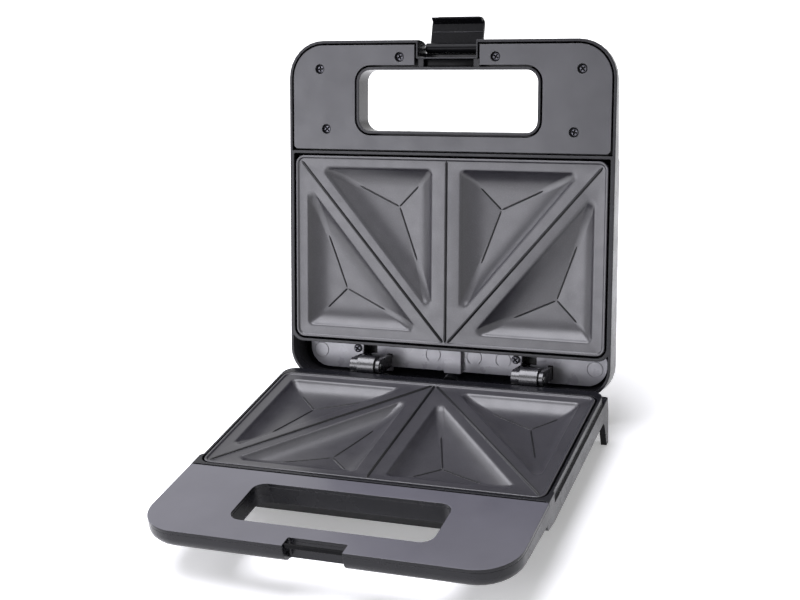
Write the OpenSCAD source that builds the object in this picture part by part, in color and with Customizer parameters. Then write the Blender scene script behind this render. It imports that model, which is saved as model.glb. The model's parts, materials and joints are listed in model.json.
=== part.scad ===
/* [Body] */
// Margin of the body outside the wall round the plates
body_margin = 1; // [0.6:0.1:2.4]
// Front edge of the handles, measured from the middle of the plates
front_reach = 139.6; // [138:0.2:142]
// Corner radius in plan at the handle end
handle_corner_r = 25; // [20:0.5:27]
// Wall thickness of the mouldings
skin = 1.8; // [1.6:0.1:2.2]
// Height of the parting plane above the table
parting_h = 36; // [35.5:0.1:38]

/* [Plates] */
// Half of the plate width
plate_half_w = 109; // [107:0.1:109]
// Half of the plate depth
plate_half_d = 62.7; // [62:0.1:62.8]
// Corner radius of the plates
plate_corner_r = 6; // [4:0.5:8]
// Gap between a plate and the frame round it
plate_gap = 1.4; // [1.2:0.1:1.6]
// Height of the lip round the plate face
lip_h = 1.1; // [0.8:0.1:1.6]
// Width of the lip
lip_w = 1.6; // [1.2:0.1:2]
// Depth of the pockets below the plate face
pocket_depth = 8; // [6:0.2:8.4]
// Depth of the steep edge of the pockets
pocket_edge = 2.2; // [2:0.1:3]
// Corner radius of the pockets
pocket_r = 4.2; // [3.5:0.1:5]
// Height of the ribs along the pocket folds
fold_rib_h = 0.9; // [0.6:0.1:1.2]
// Width of the raised dividers between the pockets
divider_w = 1.8; // [1.4:0.1:2.2]

/* [Handles] */
// Half width of the finger window
window_half = 62; // [58:0.5:63]
// Rear edge of the finger window
window_rear = 79.8; // [79:0.1:81]
// Front edge of the finger window
window_front = 120.2; // [118:0.1:120.5]
// Corner radius of the finger window
window_r = 8; // [6:0.5:10]
// Thickness of the base handle
base_grip_t = 13.4; // [13.2:0.1:14]
// Thickness of the lid handle
lid_grip_t = 16.4; // [16:0.1:17]
// Thickness of the handle covers
cover_t = 2.2; // [1.8:0.1:2.4]
// Groove between a handle cover and the rim round it
groove_w = 1.3; // [1:0.1:1.6]

/* [Hinge] */
// Hinge axis behind the middle of the plates
hinge_y = 80; // [79.8:0.1:80.4]
// Opening angle of the lid as shown
open_angle = 105.7; // [95:0.1:105.7]
// Distance of each hinge from the middle
hinge_x = 57.5; // [54:0.5:60]
// Radius of the hinge pins
hinge_pin_r = 2; // [1.6:0.1:2.2]
// Radial running clearance of the hinge pins
hinge_fit = 0.05; // [0.02:0.01:0.1]

/* [Latch] */
// Half width of the latch lever
latch_half = 18.2; // [16:0.1:18.6]
// Latch axis in front of the middle of the plates
latch_y = 134.5; // [134.3:0.1:134.7]
// Height of the latch axis above the parting plane
latch_z = 13; // [12.8:0.1:13.2]
// Swing of the latch from closed to open
latch_swing = 103; // [90:1:105]
// Radius of the latch pin
latch_pin_r = 1.5; // [1.2:0.1:1.6]
// Radial running clearance of the latch pin
latch_fit = 0.05; // [0.02:0.01:0.1]

/* [Lid] */
// Height of the lid above the parting plane
lid_h = 34; // [33.5:0.1:36]
// Rear edge of the lid behind the middle of the plates
lid_rear = 91; // [90.6:0.1:91.4]
// Depth of the hinge recess
recess_depth = 20; // [19.6:0.1:20.4]

/* [Hidden] */

$fn = 32;
// Segments of small round parts
small_fn = 16;
// Overlap that joins the shapes of one piece or clears a cut
join = 0.4;
// Thickness of the outlines that a rounded form is blended from
sheet = 0.3;
// Clearance between pieces that are fitted into each other
fit = 0.3;

// Half of the overall width
body_half = plate_half_w + plate_gap + skin + body_margin;

// Levels of the faces, outwards from the parting plane
cover_level = 0.4;
frame_level = 1;
lip_level = 0.4;
face_level = lip_level + lip_h;
ledge_level = 6.7;
plate_t = 2;
slab_level = face_level + plate_t;
block_level = face_level + pocket_depth + plate_t;
tray_level = 21;
tray_t = 0.8;
flange_level = 15;
wall_level = 17.5;
pan_level = parting_h - 3;
pad_t = 0.8;

// Places along the depth, from the middle of the plates
front_y = -front_reach;
seam_y = -(plate_half_d + plate_gap + skin);
frame_half = body_half - 1.3;
frame_rear = plate_half_d + 7.7;
base_front = -74;
base_rear = 75.3;
rear_draft = 12.4;
wall_rear = base_rear - tan(rear_draft) * (wall_level - ledge_level);
rib_rear = plate_half_d + plate_gap + skin;

// Lid handle and lid top
lid_wall = 3;
lid_slope = 0.1;
lid_side_round = 22;
crown_wall = 11.2;
crown_slope = 0.028;
crown_round = 18;
lid_rear_r = 20;

// Base handle
base_wall = 6.2;
form_overlap = 12;
lid_overlap = 10;
base_slope = (base_grip_t - base_wall - 0.3) / (front_reach + seam_y + form_overlap);
base_round = 8;

// Notches for the latch
notch_half = 20.2;
notch_rear = front_reach - 11.2;
notch_wall = 1.1;
catch_half = 18;
catch_notch = front_reach - 8.6;
catch_front = front_reach - 1.6;
catch_rear = catch_front - 1.8;
catch_top = 0.8;
catch_t = 2.4;
slot_front = notch_rear - notch_wall - 4.5;

// Latch lever, measured from its axis
lever_out = 5.8;
lever_t = 2.4;
lever_tip = 23.2;
lever_top = 3.3;
barrel_r = 3.3;
hook_top = latch_z + catch_top + catch_t + 1.8;
hook_nose = 1.5;
hook_rise = 2.6;
hook_t = 0.8;
hook_half = catch_half - 0.6;
hook_end = hook_top + hook_t + 0.4;

// Middle of the depth of the open toaster, with the latch as its rearmost piece
latch_axis_y = -latch_y;
lever_rise = latch_swing - 90;
tip_y = latch_axis_y - lever_tip * cos(lever_rise) + (lever_out + lever_t) * sin(lever_rise);
tip_z = latch_z + lever_tip * sin(lever_rise) + (lever_out + lever_t) * cos(lever_rise);
tip_back = hinge_y + (tip_y - hinge_y) * cos(open_angle) + tip_z * sin(open_angle);
y_mid = (front_y + tip_back) / 2;

// Screws
head_r = 2.9;
head_h = 1.6;
shank_r = 1.5;
shank_l = 6;
screw_gap = 0.1;
well_r = 3.3;
post_r = 4.2;
lid_boss_level = 5;
lid_seat = 3.4;
base_boss_level = 7;
base_seat = 8.4;

// Screw places on the handles, right half of each mirrored pair
corner_screw_in = 22.4;
seam_screw_in = 27.2;
lid_grip_places = [[body_half - corner_screw_in, 18.8 - front_reach], [33.2, 11 - front_reach],
    [body_half - seam_screw_in, -80.7]];
base_grip_places = [[body_half - corner_screw_in - 2.8, 25.1 - front_reach], [34, 12.2 - front_reach],
    [body_half - seam_screw_in, -80.7]];

// Pockets on the right half: sharp corners before rounding, and the point where the folds meet
inner_pocket = [[10.9, 8.7 - plate_half_d], [plate_half_w - 21, 8.7 - plate_half_d], [10.9, plate_half_d - 24.7]];
outer_pocket = [[plate_half_w - 9.7, plate_half_d - 9.3], [plate_half_w - 9.7, 24.5 - plate_half_d],
    [22.4, plate_half_d - 9.3]];
inner_peak = inner_pocket[0] + [24.7, 24.6];
outer_peak = outer_pocket[0] - [24.7, 24.8];
pocket_edge_in = 1.2;
pocket_shares = [0.8, 0.55, 0.3];
scoop_power = 1.6;

// Hinges, measured across from the middle of each hinge
knuckle_r = 7;
ear_r = 5;
knuckle_x = [-3.3, 8.9];
ear_x = [[-9.3, -3.6], [9.2, 12.2]];
leaf_t = 1.8;
leaf_h = 8.6;
leaf_drop = 1.2;
leaf_x = [-9, 15];
leaf_screw_x = 9;
leaf_screw_drop = 5.8;
leaf_seat = 0.9;
lid_leaf_x = [-17, 13];
lid_leaf_y = [68.6, 84];
panel_t = 2;
panel_half = body_half - 6.4;
panel_rear = 86.5;
panel_r = 14;
panel_screw = [-13.3, 72.2];
panel_posts = [[body_half - 14.5, 75], [14.5 - body_half, 75], [14.8, 73], [-14.8, 73]];
panel_marks = concat(panel_posts, [[hinge_x - 22, 73.4]]);
mark_r = 5;
mark_w = 0.5;
mark_deep = 0.5;
post_half = 6;
post_rise = 3;
post_slot = 2.6;
slot_deep = 1.2;
opening_half = 45;
opening_y = 77.5;
slot_x = [-3.7, 7.1];
slot_rear = 72;

// Heating tube
element_r = 3;
element_half_w = plate_half_w - 29;
element_half_d = plate_half_d - 24.7;
element_bend = 14;
element_end = 16;
element_level = block_level + fit + element_r;
pin_r = 1.2;
pin_l = 7;
clip_t = 0.8;
clip_l = 10;
clip_foot = 4;
clip_y = 12;

// Fastening of plates and trays
plate_bosses = [[50, 0], [-50, 0], [0, plate_half_d - 15.7]];
plate_boss_r = 4.5;
tray_in_w = 8;
tray_in_d = 7;
tray_boss = [plate_half_w - 21, plate_half_d - 14.7];
tray_bosses = [tray_boss, [-tray_boss[0], tray_boss[1]], [tray_boss[0], -tray_boss[1]], -tray_boss];

// Bottom pan and feet
pan_t = 1.8;
pan_half = body_half - 7.2;
pan_front = -62;
pan_rear = 63;
pan_in = 5;
pan_post_r = 3.4;
flange_front = -69.4;
pan_screw_x = body_half - 13.2;
pan_screws = [[pan_screw_x, 67.2], [-pan_screw_x, 67.2], [pan_screw_x, -66.4], [-pan_screw_x, -66.4]];
leg_w = 3.8;
leg_front = 62;
leg_foot = [64.6, 69.4];
front_feet = [[body_half - 27.2, -44], [27.2 - body_half, -44]];
front_foot_r = 7;

// Pieces inside
fuse_r = 2.2;
fuse_l = 16;
block_w = 26;
block_d = 16;
block_gap = 1.2;
block_h = pan_level - pan_t - tray_level - block_gap;
stat_size = [13, 20, 8];
gland_x = -20;
gland_r = 3.2;
gland_bore = 2.4;
gland_drop = 4.9;
gland_l = 8;
guide_x = 7;
guide_r = 5.4;
guide_bore = 2.8;
guide_rise = 2.6;
guide_t = 3.6;
lamp_x = 9;
lamp_y = -42;
lamp_r = 3.2;

module place_base() { translate([0, -y_mid, parting_h]) children(); }

module lower() { place_base() mirror([0, 0, 1]) children(); }

module upper() {
    translate([0, hinge_y - y_mid, parting_h])
        rotate([-open_angle, 0, 0])
            translate([0, -hinge_y, 0])
                children();
}

module both_sides() { for (side = [0, 1]) mirror([side, 0, 0]) children(); }

module at(places) { for (place = places) translate([place[0], place[1], 0]) children(); }

module slab(z0, z1) { translate([0, 0, z0]) linear_extrude(z1 - z0) children(); }

module rod(r, z0, z1) { translate([0, 0, z0]) cylinder(h = z1 - z0, r = r, $fn = small_fn); }

// Outline in plan, with its own corner radius at the front and at the rear
module plan(half_w, y0, y1, r0, r1) {
    translate([-half_w, y0 + r0]) square([2 * half_w, y1 - y0 - r0 - r1]);
    translate([r0 - half_w, y0]) square([2 * (half_w - r0), r0 + join]);
    translate([r1 - half_w, y1 - r1 - join]) square([2 * (half_w - r1), r1 + join]);
    for (side = [-1, 1]) translate([side * (half_w - r0), y0 + r0]) circle(r0);
    for (side = [-1, 1]) translate([side * (half_w - r1), y1 - r1]) circle(r1);
}

// Rounded form: a side wall that rises towards the rear, then an elliptical shoulder up to a flat top
module rounded_form(z0, inset, half_w, y0, y1, r0, r1, wall, slope, top, side_round, end_round) {
    levels = 4;
    hull() {
        slab(z0, z0 + sheet) plan(half_w - inset, y0 + inset, y1 - inset, max(r0 - inset, 3), max(r1 - inset, 3));
        for (i = [0:levels]) {
            turn = 90 * i / levels;
            rise = sin(turn);
            side_in = inset + side_round * (1 - cos(turn));
            end_in = inset + end_round * (1 - cos(turn));
            lean = slope * (1 - rise);
            level = (wall - slope * y0) * (1 - rise) + top * rise - inset;
            multmatrix([[1, 0, 0, 0], [0, 1, 0, 0], [0, lean, 1, level - sheet], [0, 0, 0, 1]])
                linear_extrude(sheet)
                    plan(half_w - side_in, y0 + end_in, y1 - end_in, max(r0 - side_in, 3), max(r1 - side_in, 3));
        }
    }
}

module window_outline(grow) {
    plan(window_half + grow, -window_front - grow, grow - window_rear, window_r + grow, window_r + grow);
}

module plate_outline(grow) {
    plan(plate_half_w + grow, -plate_half_d - grow, plate_half_d + grow, plate_corner_r + grow, plate_corner_r + grow);
}

// Handle cover, inside the rim of its housing and round the finger window
module cover_outline(grow) {
    inset = skin + groove_w - grow;
    difference() {
        plan(body_half - inset, front_y + inset, seam_y - groove_w + grow, handle_corner_r - inset, 3);
        window_outline(skin + groove_w - grow);
    }
}

// Pan-head screw with its head on a seat at z = 0, shank pointing to -Z
module screw(length) {
    rod(head_r, 0, head_h);
    rod(shank_r, -length, join);
}

module lid_form(inset) {
    rounded_form(cover_level - (inset > 0 ? 1 : 0), inset, body_half, front_y, seam_y + lid_overlap, handle_corner_r, 3, lid_wall,
        lid_slope, lid_grip_t, lid_side_round, 4);
    rounded_form(cover_level - (inset > 0 ? 1 : 0), inset, body_half, seam_y, lid_rear, 3, lid_rear_r, crown_wall,
        crown_slope, lid_h, crown_round, crown_round);
}

module base_form(inset) {
    rounded_form(cover_level - (inset > 0 ? 1 : 0), inset, body_half, front_y, seam_y + form_overlap, handle_corner_r, 3,
        base_wall, base_slope, base_grip_t, base_round, base_round);
}

// Local frame on the rear wall: X across, Y up along the wall, Z out of the wall
module on_rear_wall() { translate([0, base_rear, ledge_level]) rotate([rear_draft - 90, 0, 0]) children(); }

module at_hinges() { for (side = [-1, 1]) translate([side * hinge_x, 0, 0]) children(); }

module leaf_screw_places() {
    for (side = [-1, 1])
        translate([(leaf_x[0] + leaf_x[1]) / 2 + side * leaf_screw_x, -leaf_screw_drop, 0])
            children();
}

// Walls behind the base handle, drafted at the rear and rounded under the front
module base_block() {
    intersection() {
        translate([-body_half, 0, 0])
            rotate([90, 0, 90])
                linear_extrude(2 * body_half)
                    polygon([[base_front, ledge_level], [base_front, base_grip_t], [base_front + 2, flange_level + 0.6],
                        [base_front + 14, wall_level], [wall_rear, wall_level], [base_rear, ledge_level]]);
        slab(ledge_level - 1, parting_h) plan(body_half, base_front, base_rear, 1, 2);
    }
}

module rear_legs() {
    both_sides()
        translate([body_half - leg_w, 0, 0])
            rotate([90, 0, 90])
                linear_extrude(leg_w)
                    polygon([[leg_front - 3, wall_level - join], [leg_front, wall_level + 3],
                        [leg_foot[0], parting_h - pad_t], [leg_foot[1], parting_h - pad_t],
                        [wall_rear, wall_level - join]]);
}

// Lower housing: handle tub, side walls, frame round the plate and rear legs
module base_shell() {
    color("#2c2c30") lower() {
        difference() {
            union() {
                base_form(0);
                base_block();
                slab(frame_level, ledge_level + join) plan(frame_half, seam_y - 1, frame_rear, 2, 8);
            }
            difference() {
                intersection() {
                    base_form(skin);
                    slab(-1, parting_h) plan(body_half, front_y, seam_y, 1, 1);
                }
                slab(-1, parting_h) window_outline(skin);
                slab(-1, parting_h) plan(catch_half + skin, front_y - 1, skin - catch_notch, 1, 1);
                both_sides() at(base_grip_places) rod(post_r, base_boss_level, parting_h);
                at(pan_screws) rod(pan_post_r, flange_level - shank_l - 1, parting_h);
            }
            difference() {
                slab(ledge_level + skin, parting_h)
                    plan(body_half - skin, -plate_half_d - plate_gap, wall_rear - skin, 1, 3);
                at(pan_screws) rod(pan_post_r, 0, flange_level);
                at_hinges() on_rear_wall() leaf_screw_places() rod(pan_post_r - 0.6, -shank_l - 2, 0);
            }
            slab(flange_level, parting_h) plan(body_half - skin, flange_front - fit, wall_rear - skin, 3, 3);
            slab(-1, parting_h) plate_outline(plate_gap);
            slab(-1, cover_level + cover_t) base_cover_outline();
            slab(-1, parting_h) window_outline(0);
            slab(-1, parting_h) plan(catch_half, front_y - 5, -catch_notch, 1, 1);
            both_sides() at(base_grip_places) {
                rod(shank_r + screw_gap, 0, parting_h);
                rod(well_r, base_seat, parting_h);
            }
            at(pan_screws) rod(shank_r + screw_gap, flange_level - shank_l - 0.5, parting_h);
            at_hinges() on_rear_wall() leaf_screw_places() rod(shank_r + screw_gap, -shank_l, 1);
            on_rear_wall() translate([gland_x, -gland_drop, 0]) rod(gland_r + fit / 3, -20, 1);
        }
        rear_legs();
    }
}

module base_cover_outline() { plan(body_half, front_y, seam_y - groove_w, handle_corner_r, 1); }

// Flat top of the base handle out to its edges, with bosses for the screws from below
module base_grip_cover() {
    color("#303034") lower() {
        difference() {
            union() {
                slab(cover_level, cover_level + cover_t)
                    difference() {
                        base_cover_outline();
                        window_outline(0);
                        plan(catch_half, front_y - 5, -catch_notch, 1, 1);
                    }
                both_sides() at(base_grip_places) rod(post_r, cover_level + cover_t - join, base_boss_level);
            }
            both_sides() at(base_grip_places) rod(shank_r + screw_gap, cover_level + 1.4, base_boss_level + 1);
        }
    }
}

module base_grip_screws() {
    color("#1a1a1c") lower() both_sides() at(base_grip_places) translate([0, 0, base_seat]) screw(shank_l - 0.6);
}

// Bottom pan: flange inside the walls, sloping sides, tray posts and front feet
module base_pan() {
    color("#242427") lower() {
        difference() {
            union() {
                slab(flange_level, flange_level + pan_t)
                    plan(body_half - skin - fit, flange_front, wall_rear - skin - fit, 3, 3);
                pan_tub(0, flange_level + pan_t, pan_level);
                at(front_feet) slab(pan_level - 1, parting_h - pad_t) circle(front_foot_r);
            }
            difference() {
                pan_tub(pan_t, flange_level - join, pan_level - pan_t);
                at(tray_bosses) rod(post_r, tray_level, parting_h);
            }
            at(pan_screws) rod(shank_r + screw_gap, 0, parting_h);
            at(tray_bosses) rod(shank_r + screw_gap, tray_level - 1, tray_level + shank_l + 1);
        }
    }
}

module pan_tub(inset, z0, z1) {
    hull() {
        slab(z0, z0 + sheet) plan(pan_half - inset, pan_front + inset, pan_rear - inset, 8 - inset, 8 - inset);
        slab(z1 - sheet, z1)
            plan(pan_half - pan_in - inset, pan_front + pan_in + inset, pan_rear - pan_in - inset, 8 - inset, 8 - inset);
    }
}

module base_pan_screws() {
    color("#1a1a1c") lower() at(pan_screws) translate([0, 0, flange_level + pan_t]) screw(shank_l + pan_t - 1);
}

// Round pads under the front feet and caps under the rear legs
module foot_pads() {
    color("#0f0f10") lower() {
        at(front_feet) slab(parting_h - pad_t, parting_h) circle(front_foot_r - 1);
        both_sides()
            slab(parting_h - pad_t, parting_h)
                translate([body_half - leg_w, leg_foot[0]])
                    square([leg_w, leg_foot[1] - leg_foot[0]]);
    }
}

// Catch bar across the front of the notch in the base
module latch_catch() {
    color("#1c1c1e") lower()
        slab(catch_top, catch_top + catch_t) plan(catch_half, -catch_front, -catch_rear, 0.5, 0.5);
}

// Pocket corners rounded by circles set inside the sharp corners
module pocket_outline(corners, inset) {
    reach = pocket_r + inset;
    for (i = [0:2]) {
        along = [for (j = [1, 2]) (corners[(i + j) % 3] - corners[i]) / norm(corners[(i + j) % 3] - corners[i])];
        half_turn = acos(along[0] * along[1]) / 2;
        inward = (along[0] + along[1]) / norm(along[0] + along[1]);
        translate(corners[i] + inward * reach / sin(half_turn)) circle(pocket_r, $fn = 20);
    }
}

// One pocket: a steep edge, then three hollow sides that flatten out towards the peak
module pocket_void(corners, peak) {
    hull() {
        slab(face_level - join, face_level) hull() pocket_outline(corners, 0);
        slab(face_level, face_level + pocket_edge) hull() pocket_outline(corners, pocket_edge_in);
        for (share = pocket_shares)
            slab(face_level, face_level + scoop_depth(share))
                translate(peak * (1 - share))
                    scale([share, share])
                        hull() pocket_outline(corners, pocket_edge_in);
        translate([peak[0], peak[1], face_level + pocket_depth - join]) cylinder(h = join, r = 1.5, $fn = small_fn);
    }
}

// Depth of a hollow side where its outline has shrunk to a share of the full size
function scoop_depth(share) = pocket_edge + (pocket_depth - pocket_edge) * (1 - pow(share, scoop_power));

// Low ribs along the folds, from the peak part of the way to the corners
module fold_ribs(corners, peak) {
    rib_w = 1.3;
    rib_share = 0.5;
    edge_share = 0.8;
    for (corner = corners) {
        run = corner - peak;
        reach = norm(run) * edge_share * rib_share;
        fall = atan((pocket_depth - scoop_depth(rib_share)) / reach);
        translate([peak[0], peak[1], face_level + pocket_depth])
            rotate([0, 0, atan2(run[1], run[0])])
                rotate([0, fall, 0])
                    translate([1, -rib_w / 2, -fold_rib_h])
                        cube([norm(run) * rib_share, rib_w, fold_rib_h + 1]);
    }
}

// Toasting plate: lip, dividers, four pockets, the blocks round them and the screw bosses
module plate() {
    divider_start = [plate_half_w - lip_w - 2.4, lip_w + 2.4 - plate_half_d];
    divider_run = [0, plate_half_d - lip_w] - divider_start;
    difference() {
        union() {
            slab(face_level, slab_level) plate_outline(0);
            slab(lip_level, face_level + join)
                difference() {
                    plate_outline(0);
                    plate_outline(-lip_w);
                }
            both_sides() for (pocket = [inner_pocket, outer_pocket]) slab(slab_level - join, block_level) polygon(pocket);
            at(plate_bosses) slab(slab_level - join, tray_level - tray_t) circle(plate_boss_r, $fn = small_fn);
        }
        both_sides() {
            pocket_void(inner_pocket, inner_peak);
            pocket_void(outer_pocket, outer_peak);
        }
        at(plate_bosses) rod(shank_r + screw_gap, tray_level - shank_l - 1, tray_level);
    }
    both_sides() {
        fold_ribs(inner_pocket, inner_peak);
        fold_ribs(outer_pocket, outer_peak);
        slab(lip_level + 0.2, face_level + join)
            translate(divider_start)
                rotate(atan2(divider_run[1], divider_run[0]))
                    translate([0, -divider_w / 2])
                        square([norm(divider_run), divider_w]);
    }
    slab(lip_level + 0.2, face_level + join)
        translate([-divider_w / 2, lip_w / 2 - plate_half_d])
            square([divider_w, 2 * plate_half_d - lip_w]);
}

// Quarter bend of the heating tube between two straight runs
module tube_bend(turn) {
    rotate(turn) rotate_extrude(angle = 90) translate([element_bend, 0]) circle(element_r, $fn = small_fn);
}

module tube_run(length) { cylinder(h = length, r = element_r, $fn = small_fn); }

// Heating tube bent into an open loop, with a terminal pin in each end
module element() {
    run_w = element_half_w - element_bend;
    run_d = element_half_d - element_bend;
    translate([0, 0, element_level]) {
        both_sides() {
            translate([element_half_w, -run_d, 0]) rotate([-90, 0, 0]) tube_run(2 * run_d);
            translate([run_w, run_d, 0]) tube_bend(0);
            translate([run_w, -run_d, 0]) tube_bend(-90);
            translate([element_end, element_half_d, 0]) rotate([0, 90, 0]) tube_run(run_w - element_end);
            translate([element_end - pin_l, element_half_d, 0])
                rotate([0, 90, 0])
                    cylinder(h = pin_l + 2, r = pin_r, $fn = small_fn);
        }
        translate([-run_w, -element_half_d, 0]) rotate([0, 90, 0]) tube_run(2 * run_w);
    }
}

// Straps that hold the heating tube against the plate
module element_clips() {
    outer = element_r + fit + clip_t;
    both_sides()
        translate([element_half_w, clip_y, 0])
            rotate([90, 0, 0])
                linear_extrude(clip_l, center = true)
                    polygon([[-outer - clip_foot, block_level], [-outer + clip_t, block_level],
                        [-outer + clip_t, element_level + element_r + fit], [outer - clip_t, element_level + element_r + fit],
                        [outer - clip_t, block_level], [outer + clip_foot, block_level],
                        [outer + clip_foot, block_level + clip_t], [outer, block_level + clip_t],
                        [outer, element_level + outer], [-outer, element_level + outer],
                        [-outer, block_level + clip_t], [-outer - clip_foot, block_level + clip_t]]);
}

// Reflector tray behind the plate
module tray() {
    difference() {
        slab(slab_level + fit, tray_level)
            plan(plate_half_w - tray_in_w, tray_in_d - plate_half_d, plate_half_d - tray_in_d, 3, 3);
        slab(0, tray_level - tray_t)
            plan(plate_half_w - tray_in_w - tray_t, tray_in_d + tray_t - plate_half_d,
                plate_half_d - tray_in_d - tray_t, 3 - tray_t, 3 - tray_t);
        at(plate_bosses) rod(shank_r + screw_gap, 0, parting_h);
        at(tray_bosses) rod(shank_r + screw_gap, 0, parting_h);
    }
}

module plate_screws() { at(plate_bosses) translate([0, 0, tray_level]) screw(shank_l); }

module tray_screws() { at(tray_bosses) translate([0, 0, tray_level - tray_t]) mirror([0, 0, 1]) screw(shank_l); }

module lower_plate() { color("#6d6b70") lower() plate(); }

module lower_element() { color("#8a8a86") lower() element(); }

module lower_element_clips() { color("#b4b4b0") lower() element_clips(); }

module lower_tray() { color("#c4c4c2") lower() tray(); }

module lower_plate_screws() { color("#a8a8a6") lower() plate_screws(); }

module lower_tray_screws() { color("#a8a8a6") lower() tray_screws(); }

module upper_plate() { color("#6d6b70") upper() plate(); }

module upper_element() { color("#8a8a86") upper() element(); }

module upper_element_clips() { color("#b4b4b0") upper() element_clips(); }

module upper_tray() { color("#c4c4c2") upper() tray(); }

module upper_plate_screws() { color("#a8a8a6") upper() plate_screws(); }

module upper_tray_screws() { color("#a8a8a6") upper() tray_screws(); }

// Cut-out fuse lying in the channel between the pocket blocks
module thermal_fuse() {
    color("#d8d4c8") lower()
        translate([0, -fuse_l / 2, slab_level + fit + fuse_r])
            rotate([-90, 0, 0])
                cylinder(h = fuse_l, r = fuse_r, $fn = small_fn);
}

// Thermostat on the back of the upper plate, in the same channel
module thermostat() {
    color("#cfc8b8") upper()
        translate([-stat_size[0] / 2, -stat_size[1], slab_level])
            cube(stat_size);
}

module terminal_block() {
    color("#e4e0d4") lower()
        translate([gland_x - block_w / 2, 30, tray_level + block_gap])
            cube([block_w, block_d, block_h]);
}

// Bush in the rear wall where the mains lead enters
module cord_gland() {
    color("#1c1c1e") lower() on_rear_wall()
        translate([gland_x, -gland_drop, 0])
            difference() {
                union() {
                    rod(gland_r, -gland_l, join);
                    rod(gland_r + 1.2, 0, 2);
                }
                rod(gland_bore, -gland_l - 1, 3);
            }
}

// Arch on the rear ledge that guides the wires across the hinge line
module wire_guide() {
    color("#1c1c1e") lower()
        translate([guide_x, base_rear - guide_t - 0.2, ledge_level])
            rotate([-90, 0, 0])
                linear_extrude(guide_t)
                    difference() {
                        intersection() {
                            translate([0, guide_rise]) circle(guide_r);
                            translate([-guide_r, 0]) square([2 * guide_r, guide_rise + guide_r]);
                        }
                        translate([0, guide_rise]) circle(guide_bore);
                    }
}

// Hinge bracket of the base: leaf on the rear wall, arm and bored knuckle
module base_hinge(side) {
    color("#3a3a3e") place_base() translate([side * hinge_x, 0, 0]) {
        mirror([0, 0, 1]) on_rear_wall()
            difference() {
                translate([leaf_x[0], -leaf_drop - leaf_h, 0]) cube([leaf_x[1] - leaf_x[0], leaf_h, leaf_t]);
                leaf_screw_places() rod(shank_r + screw_gap, -1, leaf_t + 1);
                leaf_screw_places() rod(head_r + screw_gap, leaf_seat, leaf_t + 1);
            }
        translate([knuckle_x[0], 0, 0])
            rotate([90, 0, 90])
                linear_extrude(knuckle_x[1] - knuckle_x[0])
                    difference() {
                        union() {
                            translate([hinge_y, 0]) circle(knuckle_r);
                            polygon([[base_rear + 0.3, -ledge_level - 1.2], [base_rear + leaf_t - 0.4, -ledge_level - 2],
                                [hinge_y, -knuckle_r], [hinge_y, 0], [hinge_y - 5.1, -4.6]]);
                        }
                        translate([hinge_y, 0]) circle(hinge_pin_r + hinge_fit);
                    }
    }
}

module base_hinge_left() { base_hinge(-1); }

module base_hinge_right() { base_hinge(1); }

module base_hinge_screws() {
    color("#a8a8a6") lower() at_hinges() on_rear_wall() leaf_screw_places() translate([0, 0, leaf_seat]) screw(shank_l);
}

// Hinge pin through the knuckle and the two ears
module hinge_pin(side) {
    color("#b8b8b8") place_base()
        translate([side * hinge_x + ear_x[0][0] - 0.3, hinge_y, 0])
            rotate([0, 90, 0])
                cylinder(h = ear_x[1][1] - ear_x[0][0] + 0.6, r = hinge_pin_r);
}

module hinge_pin_left() { hinge_pin(-1); }

module hinge_pin_right() { hinge_pin(1); }

// Hinge bracket of the lid: leaf behind the panel and two bored ears that pass through it
module lid_hinge(side) {
    back = recess_depth + panel_t;
    color("#3a3a3e") upper() translate([side * hinge_x, 0, 0]) {
        difference() {
            translate([lid_leaf_x[0], lid_leaf_y[0], back])
                cube([lid_leaf_x[1] - lid_leaf_x[0], lid_leaf_y[1] - lid_leaf_y[0], leaf_t]);
            translate([panel_screw[0], panel_screw[1], 0]) rod(shank_r + screw_gap, 0, parting_h);
        }
        for (ear = ear_x)
            translate([ear[0], 0, 0])
                rotate([90, 0, 90])
                    linear_extrude(ear[1] - ear[0])
                        difference() {
                            union() {
                                translate([hinge_y, 0]) circle(ear_r);
                                polygon([[hinge_y - ear_r, 0], [hinge_y + ear_r, 0], [hinge_y + 3, back + join],
                                    [hinge_y - 5, back + join]]);
                            }
                            translate([hinge_y, 0]) circle(hinge_pin_r + hinge_fit);
                        }
    }
}

module lid_hinge_left() { lid_hinge(-1); }

module lid_hinge_right() { lid_hinge(1); }

// Panel that closes the hinge recess: slots for the ears, centre post, round marks and the open middle
module lid_hinge_panel() {
    color("#323236") upper() {
        slab(recess_depth - post_rise, recess_depth + panel_t)
            translate([-post_half, rib_rear + fit])
                square([2 * post_half, panel_rear - rib_rear - 2.4]);
        difference() {
            slab(recess_depth, recess_depth + panel_t)
                difference() {
                    intersection() {
                        plan(panel_half, rib_rear + fit, panel_rear, 4, panel_r);
                        translate([-panel_half, rib_rear + fit]) square([2 * panel_half, panel_rear - rib_rear - fit]);
                    }
                    plan(opening_half, opening_y, panel_rear + 1, 2, 0.5);
                    at_hinges() {
                        for (ear = ear_x)
                            translate([ear[0] - fit, hinge_y - 5 - 2 * fit])
                                square([ear[1] - ear[0] + 2 * fit, 8.6 + 3 * fit]);
                        translate([slot_x[0], rib_rear]) square([slot_x[1] - slot_x[0], slot_rear - rib_rear]);
                    }
                }
            slab(recess_depth - 1, recess_depth + slot_deep)
                translate([post_half, rib_rear])
                    square([post_slot, opening_y - rib_rear + join]);
            at(panel_marks) slab(recess_depth - 1, recess_depth + mark_deep)
                difference() {
                    circle(mark_r + mark_w);
                    circle(mark_r);
                }
            at_hinges() translate([panel_screw[0], panel_screw[1], 0]) rod(shank_r + screw_gap, 0, parting_h);
        }
    }
}

module lid_hinge_screws() {
    color("#1a1a1c") upper() at_hinges()
        translate([panel_screw[0], panel_screw[1], recess_depth])
            mirror([0, 0, 1])
                screw(shank_l + panel_t);
}

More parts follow.
